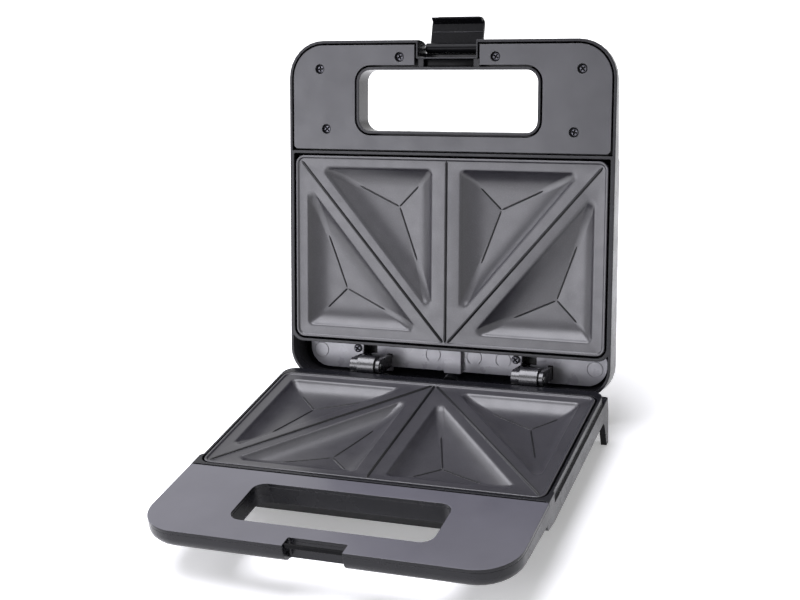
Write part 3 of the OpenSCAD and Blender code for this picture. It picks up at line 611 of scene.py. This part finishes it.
@dataclass(frozen=True)
class Plate:
    """Toasting plate: lip, dividers and four hollow pockets with rolled edges and fold ribs.

    Attributes:
        half: The half of the toaster that carries it.
        body: The body that it rides on.
        half_w: Half of the width.
        half_d: Half of the depth.
        corner_r: Corner radius of the plate.
        lip_level: Level of the top of the lip.
        face_level: Level of the flat face.
        slab_level: Level of the back of the flat face.
        block_level: Level of the back of the pocket blocks.
        boss_level: Level of the ends of the screw bosses.
        pocket_depth: Depth of a pocket at its peak.
        pocket_r: Corner radius of the pockets.
        edge_deep: Depth of the rolled edge of the pockets.
        edge_in: How far the rolled edge reaches inwards.
        edge_loops: Inset and depth of the loops over the rolled edge.
        scoop_power: How hollow the sides of the pockets are; 1 is flat.
        flat_share: Share of the pocket's depth that falls evenly towards the peak.
        side_shares: Sizes of the loops down a pocket's sides, as shares of its edge.
        divider_w: Width of the raised dividers.
        divider_gap: Distance from the dividers' ends to the plate's outline.
        divider_foot: Distance from the slanted dividers' feet to the plate's side and front.
        divider_meet: Half the distance between the slanted dividers' heads.
        divider_sink: How far the dividers' middle line lies behind the flat face.
        divider_shares: Places along a divider that it runs through; its ends taper.
        rib_size: Width and height of the fold ribs.
        rib_shares: Places along a fold, from the peak, that a rib runs through.
        rib_turns: Segments round a rib or divider.
        rib_taper: Size of a rib's ends as a share of its middle.
        bosses: Places of the screw bosses on the back.
        boss_r: Radius of the bosses.
        boss_steps: Segments round a boss.
        arc_steps: Segments in each rounded corner.
        least_corner: Smallest corner radius of the inner loops of the lip.
        sharp_from: Turn in degrees from which an edge stays sharp.
    """

    half: Half
    body: str
    half_w: float = 109.0
    half_d: float = 62.7
    corner_r: float = 6.0
    lip_level: float = 0.4
    face_level: float = 1.5
    slab_level: float = 3.5
    block_level: float = 11.5
    boss_level: float = 20.2
    pocket_depth: float = 8.0
    pocket_r: float = 3.4
    edge_deep: float = 2.2
    edge_in: float = 1.2
    edge_loops: tuple[Pair, ...] = (
        (-1.6, 0.0), (-1.0, 0.09), (-0.5, 0.32), (-0.1, 0.72), (0.3, 1.25), (0.7, 1.75)
    )
    scoop_power: float = 5.0
    flat_share: float = 0.3
    side_shares: tuple[float, ...] = (1.0, 0.92, 0.84, 0.76, 0.67, 0.58, 0.49, 0.4, 0.31, 0.22, 0.13, 0.05)
    divider_w: float = 1.8
    divider_gap: float = 2.0
    divider_foot: float = 4.0
    divider_meet: float = 1.6
    divider_sink: float = 0.05
    divider_shares: tuple[float, ...] = (0.0, 0.012, 0.5, 0.988, 1.0)
    rib_size: Pair = (1.0, 0.55)
    rib_shares: tuple[float, ...] = (0.01, 0.04, 0.1, 0.18, 0.26, 0.34, 0.42, 0.5, 0.56, 0.6)
    rib_turns: int = 12
    rib_taper: float = 0.25
    bosses: tuple[Pair, ...] = ((50.0, 0.0), (-50.0, 0.0), (0.0, 47.0))
    boss_r: float = 4.5
    boss_steps: int = 16
    arc_steps: int = 8
    least_corner: float = 2.0
    sharp_from: float = 28.0

    @property
    def lip_rise(self) -> float:
        """Returns how far the lip stands above the face."""
        return self.face_level - self.lip_level

    @property
    def pockets(self) -> list[tuple[list[Vector], Vector]]:
        """Returns the sharp corners and the peak of each pocket."""
        inner = ([(10.6, -54.4), (90.0, -54.4), (10.6, 40.0)], (36.0, -29.0))
        outer = ([(99.8, 53.8), (99.8, -41.0), (20.2, 53.8)], (74.4, 28.8))
        return [
            ([Vector((side * x, y)) for x, y in corners], Vector((side * peak[0], peak[1])))
            for side in (1, -1)
            for corners, peak in (inner, outer)
        ]

    @staticmethod
    def bisector(corners: list[Vector], i: int) -> tuple[Vector, float, float]:
        """Looks at one corner of a polygon.

        Args:
            corners: The sharp corners in order.
            i: Which corner.

        Returns:
            The direction into the polygon, half the angle at the corner, and the sign of the turn.
        """
        corner = corners[i]
        back = (corners[i - 1] - corner).normalized()
        ahead = (corners[(i + 1) % len(corners)] - corner).normalized()
        half_turn = math.acos(max(-1.0, min(1.0, back.dot(ahead)))) / 2
        return (back + ahead).normalized(), half_turn, 1.0 if back.cross(ahead) < 0 else -1.0

    def rounded(self, corners: list[Vector], inset: float, radius: float, level: float) -> list[Vector]:
        """Returns a polygon with rounded corners as points.

        Args:
            corners: The sharp corners in order.
            inset: How far the outline lies inside the corners' outline.
            radius: Corner radius.
            level: Level of the points.
        """
        points = []
        for i, corner in enumerate(corners):
            inward, half_turn, side = self.bisector(corners, i)
            centre = corner + inward * (radius + inset) / math.sin(half_turn)
            start = math.atan2(-inward.y, -inward.x)
            sweep = math.pi - 2 * half_turn
            for k in range(self.arc_steps + 1):
                turn = start + side * sweep * (k / self.arc_steps - 0.5)
                x, y = centre.x + radius * math.cos(turn), centre.y + radius * math.sin(turn)
                points.append(Vector((x, y, level)))
        return points

    def outline(self, inset: float, level: float) -> list[Vector]:
        """Returns the plate's outline moved inwards by inset, at a level."""
        w, d = self.half_w, self.half_d
        corners = [Vector(corner) for corner in ((w, d), (-w, d), (-w, -d), (w, -d))]
        return self.rounded(corners, inset, max(self.corner_r - inset, self.least_corner), level)

    def lip(self) -> list[list[Vector]]:
        """Returns the loops from the plate's back over the lip down to the flat face."""
        top, rise = self.lip_level, self.lip_rise
        outer = [(0.0, top + 0.55), (0.12, top + 0.22), (0.4, top + 0.02), (1.0, top)]
        inner = [(1.4, top + 0.12 * rise), (1.7, top + 0.5 * rise), (2.1, top + 0.88 * rise)]
        steps = [(0.0, self.slab_level), *outer, *inner, (2.7, self.face_level)]
        return [self.outline(*step) for step in steps]

    def add_pocket(self, bm: BMesh, corners: list[Vector], peak: Vector) -> Edges:
        """Adds one pocket.

        Args:
            bm: The mesh in the closed frame.
            corners: Sharp corners of the pocket.
            peak: The point where the folds meet.

        Returns:
            The edges of the pocket's rim in the flat face.
        """
        face, radius = self.face_level, self.pocket_r
        loops = [self.rounded(corners, inset, radius, face + depth) for inset, depth in self.edge_loops]
        edge = self.rounded(corners, self.edge_in, radius, 0.0)
        centre = Vector((peak.x, peak.y, 0.0))
        for share in self.side_shares:
            drop = Vector((0, 0, self.scoop(share)))
            loops.append([centre.lerp(point, share) + drop for point in edge])
        rim, floor_edge = loft(bm, loops)
        floor = bmesh.ops.contextual_create(bm, geom=floor_edge)["faces"]
        poked = bmesh.ops.poke(bm, faces=floor)
        poked["verts"][0].co = Vector((peak.x, peak.y, face + self.pocket_depth))
        return rim

    def scoop(self, share: float) -> float:
        """Returns the level of a pocket's side where its outline has shrunk to a share of its size."""
        fall = self.flat_share * (1 - share) + (1 - self.flat_share) * (1 - share**self.scoop_power)
        return self.face_level + self.edge_deep + (self.pocket_depth - self.edge_deep) * fall

    def fold_end(self, corners: list[Vector], i: int) -> Vector:
        """Returns where the fold towards corner i meets the foot of the pocket's rolled edge."""
        inward, half_turn, _ = self.bisector(corners, i)
        return corners[i] + inward * ((self.pocket_r + self.edge_in) / math.sin(half_turn) - self.pocket_r)

    def add_rib(self, bm: BMesh, path: list[Vector], width: float, height: float) -> None:
        """Adds a rib with a rounded back along a path, tapered at both ends.

        Args:
            bm: The mesh in the closed frame.
            path: Points of the rib's middle line on the surface.
            width: Width of the rib.
            height: Height of the rib above the surface.
        """
        run = (path[-1] - path[0]).normalized()
        across = Vector((-run.y, run.x, 0)).normalized() * width / 2
        rise = Vector((0, 0, height))
        turns = full_turn(self.rib_turns)
        loops = []
        for i, point in enumerate(path):
            size = self.rib_taper if i in (0, len(path) - 1) else 1.0
            loops.append([point + (across * math.cos(t) + rise * math.sin(t)) * size for t in turns])
        for end in loft(bm, loops):
            bmesh.ops.contextual_create(bm, geom=end)

    def add_divider(self, bm: BMesh, start: Pair, end: Pair) -> None:
        """Adds a raised divider between two places of the flat face."""
        first, last = (Vector((*place, self.face_level + self.divider_sink)) for place in (start, end))
        path = [first.lerp(last, share) for share in self.divider_shares]
        self.add_rib(bm, path, self.divider_w, self.lip_rise)

    def add_ribs(self, bm: BMesh) -> None:
        """Adds the fold ribs of every pocket and the dividers between the pockets."""
        for corners, peak in self.pockets:
            for i in range(len(corners)):
                fold = self.fold_end(corners, i) - peak
                path = [Vector((*(peak + fold * share), self.scoop(share))) for share in self.rib_shares]
                self.add_rib(bm, path, *self.rib_size)
        head = self.half_d - self.divider_gap
        self.add_divider(bm, (0, -head), (0, head))
        for side in (1, -1):
            foot = (side * (self.half_w - self.divider_foot), self.divider_foot - self.half_d)
            self.add_divider(bm, foot, (side * self.divider_meet, head))

    def add_stub(self, bm: BMesh, outline: list[Vector], level: float) -> Edges:
        """Adds a block or boss from the back up to a level and returns the edges of its foot."""
        foot, cap = loft(bm, [[p + Vector((0, 0, h)) for p in outline] for h in (self.slab_level, level)])
        bmesh.ops.contextual_create(bm, geom=cap)
        return foot

    def build(self, palette: Palette) -> Object:
        """Makes the plate.

        Args:
            palette: The materials.

        Returns:
            The piece that replaces the plate of this half.
        """
        bm = bmesh.new()
        back, face_rim = loft(bm, self.lip())
        for corners, peak in self.pockets:
            face_rim += self.add_pocket(bm, corners, peak)
        bmesh.ops.triangle_fill(bm, use_beauty=True, edges=face_rim)
        for corners, _ in self.pockets:
            back += self.add_stub(bm, [corner.to_3d() for corner in corners], self.block_level)
        for x, y in self.bosses:
            middle, radius, turns = Vector((x, y, 0)), self.boss_r, full_turn(self.boss_steps)
            circle = [middle + radius * Vector((math.cos(t), math.sin(t), 0)) for t in turns]
            back += self.add_stub(bm, circle, self.boss_level)
        bmesh.ops.triangle_fill(bm, use_beauty=True, edges=back)
        plain = set(bm.faces)
        self.add_ribs(bm)
        # The ribs and dividers take the second material, which is painted shade.
        for face in set(bm.faces) - plain:
            face.material_index = 1
        bmesh.ops.transform(bm, matrix=self.half.matrix(), verts=bm.verts)
        bmesh.ops.recalc_face_normals(bm, faces=bm.faces)
        mark_sharp(bm, self.sharp_from)
        node = self.half.value + "_plate"
        piece = to_piece(bm, node + "_casting", self.body, palette.pick(("plate_coating", "plate_folds")))
        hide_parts(node)
        return piece


@dataclass(frozen=True)
class FrontBlocks:
    """Blocks with softened edges on the lid's front or on its flipped-up latch, as one piece.

    Their corners are given across, forwards and outwards from a pivot, in a frame that may lean
    from the plane of the closed lid.

    Attributes:
        name: Name of the piece.
        body: The body that it rides on.
        slot: The material slot.
        corners: Lowest and highest corner of each block.
        radius: Radius of the softened edges.
        segments: Segments across a softened edge.
        pivot: Place of the pivot in the closed frame of the lid, along Y and outwards.
        lean: Lean of the blocks' frame in degrees.
    """

    name: str
    body: str
    slot: str
    corners: tuple[tuple[Point, Point], ...]
    radius: float
    segments: int
    pivot: Pair = (0.0, 0.0)
    lean: float = 0.0

    def build(self, palette: Palette) -> Object:
        """Makes the blocks.

        Args:
            palette: The materials.

        Returns:
            The piece, which stands for no node.
        """
        bm = bmesh.new()
        for low, high in self.corners:
            add_box(bm, Vector(low), Vector(high))
        soften(bm, bm.edges[:], self.radius, self.segments)
        cos, sin = math.cos(math.radians(self.lean)), math.sin(math.radians(self.lean))
        axes = Matrix(((1, 0, 0), (0, -cos, sin), (0, sin, cos))).transposed().to_4x4()
        place = Half.UPPER.matrix() @ Matrix.Translation((0, *self.pivot)) @ axes
        bmesh.ops.transform(bm, matrix=place, verts=bm.verts)
        bmesh.ops.recalc_face_normals(bm, faces=bm.faces)
        mark_sharp(bm)
        piece = to_piece(bm, self.name, self.body, palette.pick((self.slot,)))
        return piece


@dataclass(frozen=True)
class CrossScrews:
    """Pan-head screws with a cross recess, all of one CAD node.

    Attributes:
        node: The CAD node that they stand for.
        body: The body that they ride on.
        half: The half whose closed frame the places are in.
        outwards: True where the heads look outwards, away from the parting plane.
        length: Length of the shank.
        places: Middles of the seats under the heads.
        slot: The material slot.
        head_r: Radius of the head.
        head_h: Height of the head.
        shank_r: Radius of the shank.
        tip: Chamfer of the shank's tip, across and along.
        rim_share: Height of the head's straight rim as a share of its height.
        crown_turns: Turns of the rounded crown's points in degrees.
        flat_share: Radius of the head's flat top as a share of its radius.
        arm_share: Length of the cross's arms as a share of the head's radius.
        slot_share: Half the width of the arms as a share of the head's radius.
        deep_share: Depth of the cross as a share of the head's height.
        floor_share: Size of the cross's floor as a share of its mouth.
        first_turn: Turn of the first screw about its axis, in radians.
        next_turn: Turn from one screw to the next, which a driver leaves to chance.
        steps: Segments round the head.
        weld: Distance within which points are one.
        sharp_from: Turn in degrees from which an edge stays sharp.
    """

    node: str
    body: str
    half: Half
    outwards: bool
    length: float
    places: tuple[Point, ...]
    slot: str = "black_screws"
    head_r: float = 2.9
    head_h: float = 1.6
    shank_r: float = 1.5
    tip: Pair = (0.5, 0.6)
    rim_share: float = 0.45
    crown_turns: tuple[float, ...] = (0, 18, 36, 52)
    flat_share: float = 0.66
    arm_share: float = 0.62
    slot_share: float = 0.19
    deep_share: float = 0.75
    floor_share: float = 0.62
    first_turn: float = 0.7
    next_turn: float = 1.9
    steps: int = 32
    weld: float = 0.001
    sharp_from: float = 35.0

    @property
    def profile(self) -> list[Pair]:
        """Returns radius and height of the screw's outline, from its tip to the head's flat top."""
        across, along = self.tip
        low = -self.length
        shank = [(0.0, low), (self.shank_r - across, low), (self.shank_r, low + along)]
        rim, crown = self.rim_share * self.head_h, (1 - self.rim_share) * self.head_h
        turns = [math.radians(turn) for turn in self.crown_turns]
        head = [(self.head_r * math.cos(t), rim + crown * math.sin(t)) for t in turns]
        flat = (self.flat_share * self.head_r, self.head_h)
        return [*shank, (self.shank_r, 0.0), (self.head_r, 0.0), *head, flat]

    def add_cross(self, bm: BMesh) -> Edges:
        """Adds the cross recess and returns the edges of its rim."""
        arm, narrow = self.arm_share * self.head_r, self.slot_share * self.head_r
        made = bmesh.ops.create_grid(bm, x_segments=3, y_segments=3, size=1.0)["verts"]
        for vert in made:
            x, y = (math.copysign(arm if abs(v) > 0.5 else narrow, v) for v in vert.co.xy)
            vert.co = Vector((x, y, self.head_h))
        corners = [v for v in made if min(abs(v.co.x), abs(v.co.y)) > (arm + narrow) / 2]
        bmesh.ops.delete(bm, geom=corners, context="VERTS")
        faces = list({f for v in made if v.is_valid for f in v.link_faces})
        rim = [e for e in {e for f in faces for e in f.edges} if len(e.link_faces) == 1]
        floor = bmesh.ops.extrude_face_region(bm, geom=faces, use_keep_orig=True)["geom"]
        bmesh.ops.delete(bm, geom=[f for f in faces if f.is_valid], context="FACES_ONLY")
        for vert in (v for v in floor if isinstance(v, bmesh.types.BMVert)):
            vert.co.xy *= self.floor_share
            vert.co.z -= self.deep_share * self.head_h
            # The walls and floor of the cross take the second material, which is painted shade.
            for face in vert.link_faces:
                face.material_index = 1
        return [e for e in rim if e.is_valid]

    def add_screw(self, bm: BMesh, matrix: Matrix) -> None:
        """Adds one screw.

        Args:
            bm: The mesh in the row frame.
            matrix: Where the screw goes, with its seat in the plane Z = 0.
        """
        before = set(bm.verts)
        verts = [bm.verts.new((r, 0, z)) for r, z in self.profile]
        edges = [bm.edges.new(pair) for pair in zip(verts, verts[1:])]
        turn = {"cent": (0, 0, 0), "axis": (0, 0, 1), "dvec": (0, 0, 0), "angle": 2 * math.pi}
        turn |= {"steps": self.steps, "use_merge": True, "use_duplicate": False}
        bmesh.ops.spin(bm, geom=verts + edges, **turn)
        made = [v for v in bm.verts if v not in before]
        bmesh.ops.remove_doubles(bm, verts=made, dist=self.weld)
        ends = {e for v in bm.verts if v not in before for e in v.link_edges if len(e.link_faces) == 1}
        top = [e for e in ends if all(v.co.z > self.head_h - self.weld for v in e.verts)]
        bmesh.ops.triangle_fill(bm, use_beauty=True, edges=top + self.add_cross(bm))
        made = [v for v in bm.verts if v not in before]
        bmesh.ops.transform(bm, matrix=matrix, verts=made)

    def build(self, palette: Palette) -> Object:
        """Makes all screws of the node as one piece.

        Args:
            palette: The materials.

        Returns:
            The piece that replaces the node.
        """
        bm = bmesh.new()
        way = Matrix.Identity(4) if self.outwards else Matrix.Rotation(math.pi, 4, "X")
        for i, place in enumerate(self.places):
            turn = Matrix.Rotation(self.first_turn + self.next_turn * i, 4, "Z")
            self.add_screw(bm, self.half.matrix() @ Matrix.Translation(place) @ way @ turn)
        bmesh.ops.recalc_face_normals(bm, faces=bm.faces)
        mark_sharp(bm, self.sharp_from)
        piece = to_piece(bm, self.node + "_cross", self.body, palette.pick((self.slot, "screw_recess")))
        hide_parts(self.node)
        return piece


def mirrored(*places: Point) -> tuple[Point, ...]:
    """Returns the places and their mirror images in the middle plane."""
    return tuple((side * x, y, z) for side in (1, -1) for x, y, z in places)


# ---- studio


@dataclass(frozen=True)
class SoftBox:
    """A rectangular soft light.

    Attributes:
        name: Name of the light.
        place: Where its middle is, in metres.
        target: The point that it faces, in metres.
        size: Width and height in metres.
        power: Power in watts.
        tint: Colour of the light, a trace cool as daylight tubes are.
    """

    name: str
    place: Point
    target: Point
    size: Pair
    power: float
    tint: Point = (0.97, 0.965, 1.04)

    def hang(self) -> Object:
        """Makes the light and returns it."""
        light = bpy.data.lights.new(self.name, "AREA")
        light.shape = "RECTANGLE"
        light.size, light.size_y = self.size
        light.energy = self.power
        light.color = self.tint
        lamp = link_object(self.name, light)
        lamp.location = self.place
        aim = Vector(self.target) - Vector(self.place)
        lamp.rotation_euler = aim.to_track_quat("-Z", "Y").to_euler()
        return lamp


@dataclass(frozen=True)
class Studio:
    """Camera, floor, white surroundings and soft boxes.

    Attributes:
        eye: The camera's place in metres.
        azimuth: Direction from the object to the camera, in degrees from -Y towards +X.
        elevation: Its angle above the table, in degrees.
        roll: Roll of the camera, in degrees.
        lens: Focal length in mm.
        sensor: Width of the sensor in mm.
        shift: Shift of the lens in image widths.
        clip: Nearest distance that shows, in metres.
        floor_half: Half the width of the floor in metres.
        surround: Strength of the white surroundings on the object.
        boxes: The soft boxes.
    """

    eye: Point = (0.3192, -0.74775, 0.4577)
    azimuth: float = 23.01
    elevation: float = 22.26
    roll: float = -5.90
    lens: float = 64.92
    sensor: float = 36.0
    shift: Pair = (0.00116, -0.01633)
    clip: float = 0.01
    floor_half: float = 4.0
    surround: float = 0.22
    boxes: tuple[SoftBox, ...] = (
        SoftBox("overhead_box", (-0.3, -0.1, 1.3), (0.0, 0.0, 0.1), (1.2, 1.0), 24.0),
        SoftBox("front_left_box", (-1.0, -1.5, 0.35), (-0.05, 0.05, 0.15), (1.5, 1.0), 21.0),
        SoftBox("left_box", (-1.3, 0.25, 0.5), (-0.1, 0.05, 0.15), (0.7, 0.8), 7.0),
    )

    def camera(self) -> Object:
        """Makes the camera of the photograph."""
        az, el, roll = (math.radians(a) for a in (self.azimuth, self.elevation, self.roll))
        back = Vector((math.sin(az) * math.cos(el), -math.cos(az) * math.cos(el), math.sin(el)))
        right = (-back).cross(Vector((0, 0, 1))).normalized()
        up = right.cross(-back)
        x_axis = right * math.cos(roll) + up * math.sin(roll)
        y_axis = up * math.cos(roll) - right * math.sin(roll)
        data = bpy.data.cameras.new("photo_camera")
        data.lens = self.lens
        data.sensor_width = self.sensor
        data.shift_x, data.shift_y = self.shift
        data.clip_start = self.clip
        camera = link_object("photo_camera", data)
        turn = Matrix((x_axis, y_axis, back)).transposed().to_4x4()
        camera.matrix_world = Matrix.Translation(self.eye) @ turn
        bpy.context.scene.camera = camera
        return camera

    def floor(self) -> Object:
        """Makes the pale floor, which keeps the object's soft shadow."""
        bm = bmesh.new()
        bmesh.ops.create_grid(bm, x_segments=1, y_segments=1, size=self.floor_half)
        mesh = to_mesh(bm, "studio_floor")
        # Matt coated paper: plain white with a soft shadow.
        paper = Paper("white_paper", "#ffffff", "#fdfdfd", 200.0, (0.8, 0.9), 1.0, 0.0, ior=1.2)
        mesh.materials.append(paper.material())
        floor = link_object("studio_floor", mesh)
        return floor

    def surroundings(self) -> None:
        """Makes the white surroundings, plain white for the rays that see them."""
        world = bpy.data.worlds.new("white_studio")
        world.use_nodes = True
        tree = world.node_tree
        tree.nodes.clear()
        strength = remap(tree, seen_rays(tree), self.surround, 1.0, 0.0, 1.0)
        shade = add_node(tree, "Background", {"Color": (1, 1, 1, 1), "Strength": strength})
        add_node(tree, "OutputWorld", {"Surface": shade.outputs["Background"]})
        bpy.context.scene.world = world

    def build(self) -> None:
        """Sets up the whole studio."""
        self.camera()
        self.floor()
        self.surroundings()
        for box in self.boxes:
            box.hang()
        bpy.context.scene.view_settings.view_transform = "Standard"


# ---- the toaster


def lid_changes() -> tuple[BoxChange, ...]:
    """Returns the web behind the latch's barrel and the side frames of the slot under the latch."""
    web = ((-20.5, -131.4, 17.0), (20.5, -128.1, 19.0))
    left = ((-21.4, -127.6, 4.0), (-17.3, -121.4, 12.0))
    right = ((17.3, -127.6, 4.0), (21.4, -121.4, 12.0))
    return tuple(BoxChange(*corners, cut=False) for corners in (web, left, right))


def leaf_changes(hinge: float) -> tuple[BoxChange, ...]:
    """Returns the clearance in a hinge leaf behind the panel's slot, at the given hinge."""
    return (BoxChange((hinge - 9.3, 60.0, 21.8), (hinge + 1.2, 75.0, 30.0)),)


def panel_changes() -> tuple[BoxChange, ...]:
    """Returns the strip that closes the panel's middle, the slots beside its screws and a groove."""
    changes = [BoxChange((-45.4, 77.0, 20.0), (45.4, 83.5, 22.0), cut=False)]
    for x in (-HINGE_X, HINGE_X):
        changes.append(BoxChange((x + 1.2, 65.9, 20.0), (x + 7.6, 72.4, 22.0), cut=False))
        changes.append(BoxChange((x - 9.3, 60.0, 18.0), (x + 1.2, 75.0, 23.0)))
    changes.append(BoxChange((6.0, 60.0, 18.0), (8.6, 82.0, 21.4)))
    return tuple(changes)


# Seats of the screws on one side, or of both screws where the two sides differ.
LID_GRIP_SCREWS = ((90.8, -120.8, 3.4), (33.2, -128.6, 3.4), (86.0, -80.7, 3.4))
LID_HINGE_SCREWS = ((44.2, 72.2, 20.0), (-70.8, 72.2, 20.0))
BASE_GRIP_SCREWS = ((88.0, -114.5, 8.4), (34.0, -127.4, 8.4), (86.0, -80.7, 8.4))
PAN_SCREWS = ((100.0, 67.2, 16.8), (100.0, -66.4, 16.8))
# Corners of the insert under the latch, and of the ridge and the low lug on the latch's inner face.
INSERT = ((-17.2, 121.8, 7.0), (17.2, 127.2, 10.0))
RIDGE = ((-18.0, 12.05, 5.5), (18.0, 12.75, 6.2))
LUG = ((-14.7, 1.5, 5.5), (6.5, 3.7, 6.2))


@dataclass(frozen=True)
class Toaster:
    """All pieces of the toaster.

    Attributes:
        mouldings: CAD nodes that are shown smoothed.
        plates: The two toasting plates.
        screws: The screws with recesses.
        blocks: The black insert under the latch, and the ridge and lug on the latch.
    """

    mouldings: tuple[SmoothedNode, ...] = (
        SmoothedNode("base_shell", "base", "housing"),
        # The cover's upward faces take the painted reflection, its upright sides the black housing.
        SmoothedNode("base_grip_cover", "base", "base_cover", side_slot="housing"),
        SmoothedNode("latch_catch", "base", "latch_plastic"),
        SmoothedNode("base_hinge_left", "base", "hinge_plastic"),
        SmoothedNode("base_hinge_right", "base", "hinge_plastic"),
        SmoothedNode("wire_guide", "base", "latch_plastic"),
        SmoothedNode("base_pan", "base", "pan_plastic"),
        SmoothedNode("lid_shell", "lid", "housing", changes=lid_changes()),
        SmoothedNode("lid_grip_cover", "lid", "housing_cover"),
        SmoothedNode("lid_hinge_panel", "lid", "panel_plastic", changes=panel_changes()),
        SmoothedNode("lid_hinge_left", "lid", "hinge_plastic", changes=leaf_changes(-HINGE_X)),
        SmoothedNode("lid_hinge_right", "lid", "hinge_plastic", changes=leaf_changes(HINGE_X)),
        SmoothedNode("latch_lever", "latch", "latch_plastic"),
    )
    plates: tuple[Plate, ...] = (Plate(Half.LOWER, "base"), Plate(Half.UPPER, "lid"))
    screws: tuple[CrossScrews, ...] = (
        CrossScrews("lid_grip_screws", "lid", Half.UPPER, False, 6.0, mirrored(*LID_GRIP_SCREWS)),
        CrossScrews("lid_hinge_screws", "lid", Half.UPPER, False, 8.0, LID_HINGE_SCREWS),
        CrossScrews("base_grip_screws", "base", Half.LOWER, True, 5.4, mirrored(*BASE_GRIP_SCREWS)),
        CrossScrews("base_pan_screws", "base", Half.LOWER, True, 6.8, mirrored(*PAN_SCREWS)),
    )
    blocks: tuple[FrontBlocks, ...] = (
        FrontBlocks("lid_latch_insert", "lid", "latch_plastic", (INSERT,), 0.5, 3),
        FrontBlocks("latch_ridges", "latch", "housing", (RIDGE, LUG), 0.15, 2, (-134.5, 13.0), 13.0),
    )

    def build(self, palette: Palette) -> None:
        """Makes every piece."""
        for piece in (*self.mouldings, *self.plates, *self.screws, *self.blocks):
            made = piece.build(palette)
            log.info("%s: %d faces", made.name, len(made.data.polygons))


def main() -> None:
    """Builds the scene."""
    logging.basicConfig(level=logging.INFO, format="%(message)s")
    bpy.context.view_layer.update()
    palette = Palette.mixed()
    palette.paint_frame()
    Toaster().build(palette)
    Studio().build()


if __name__ == "__main__":
    main()
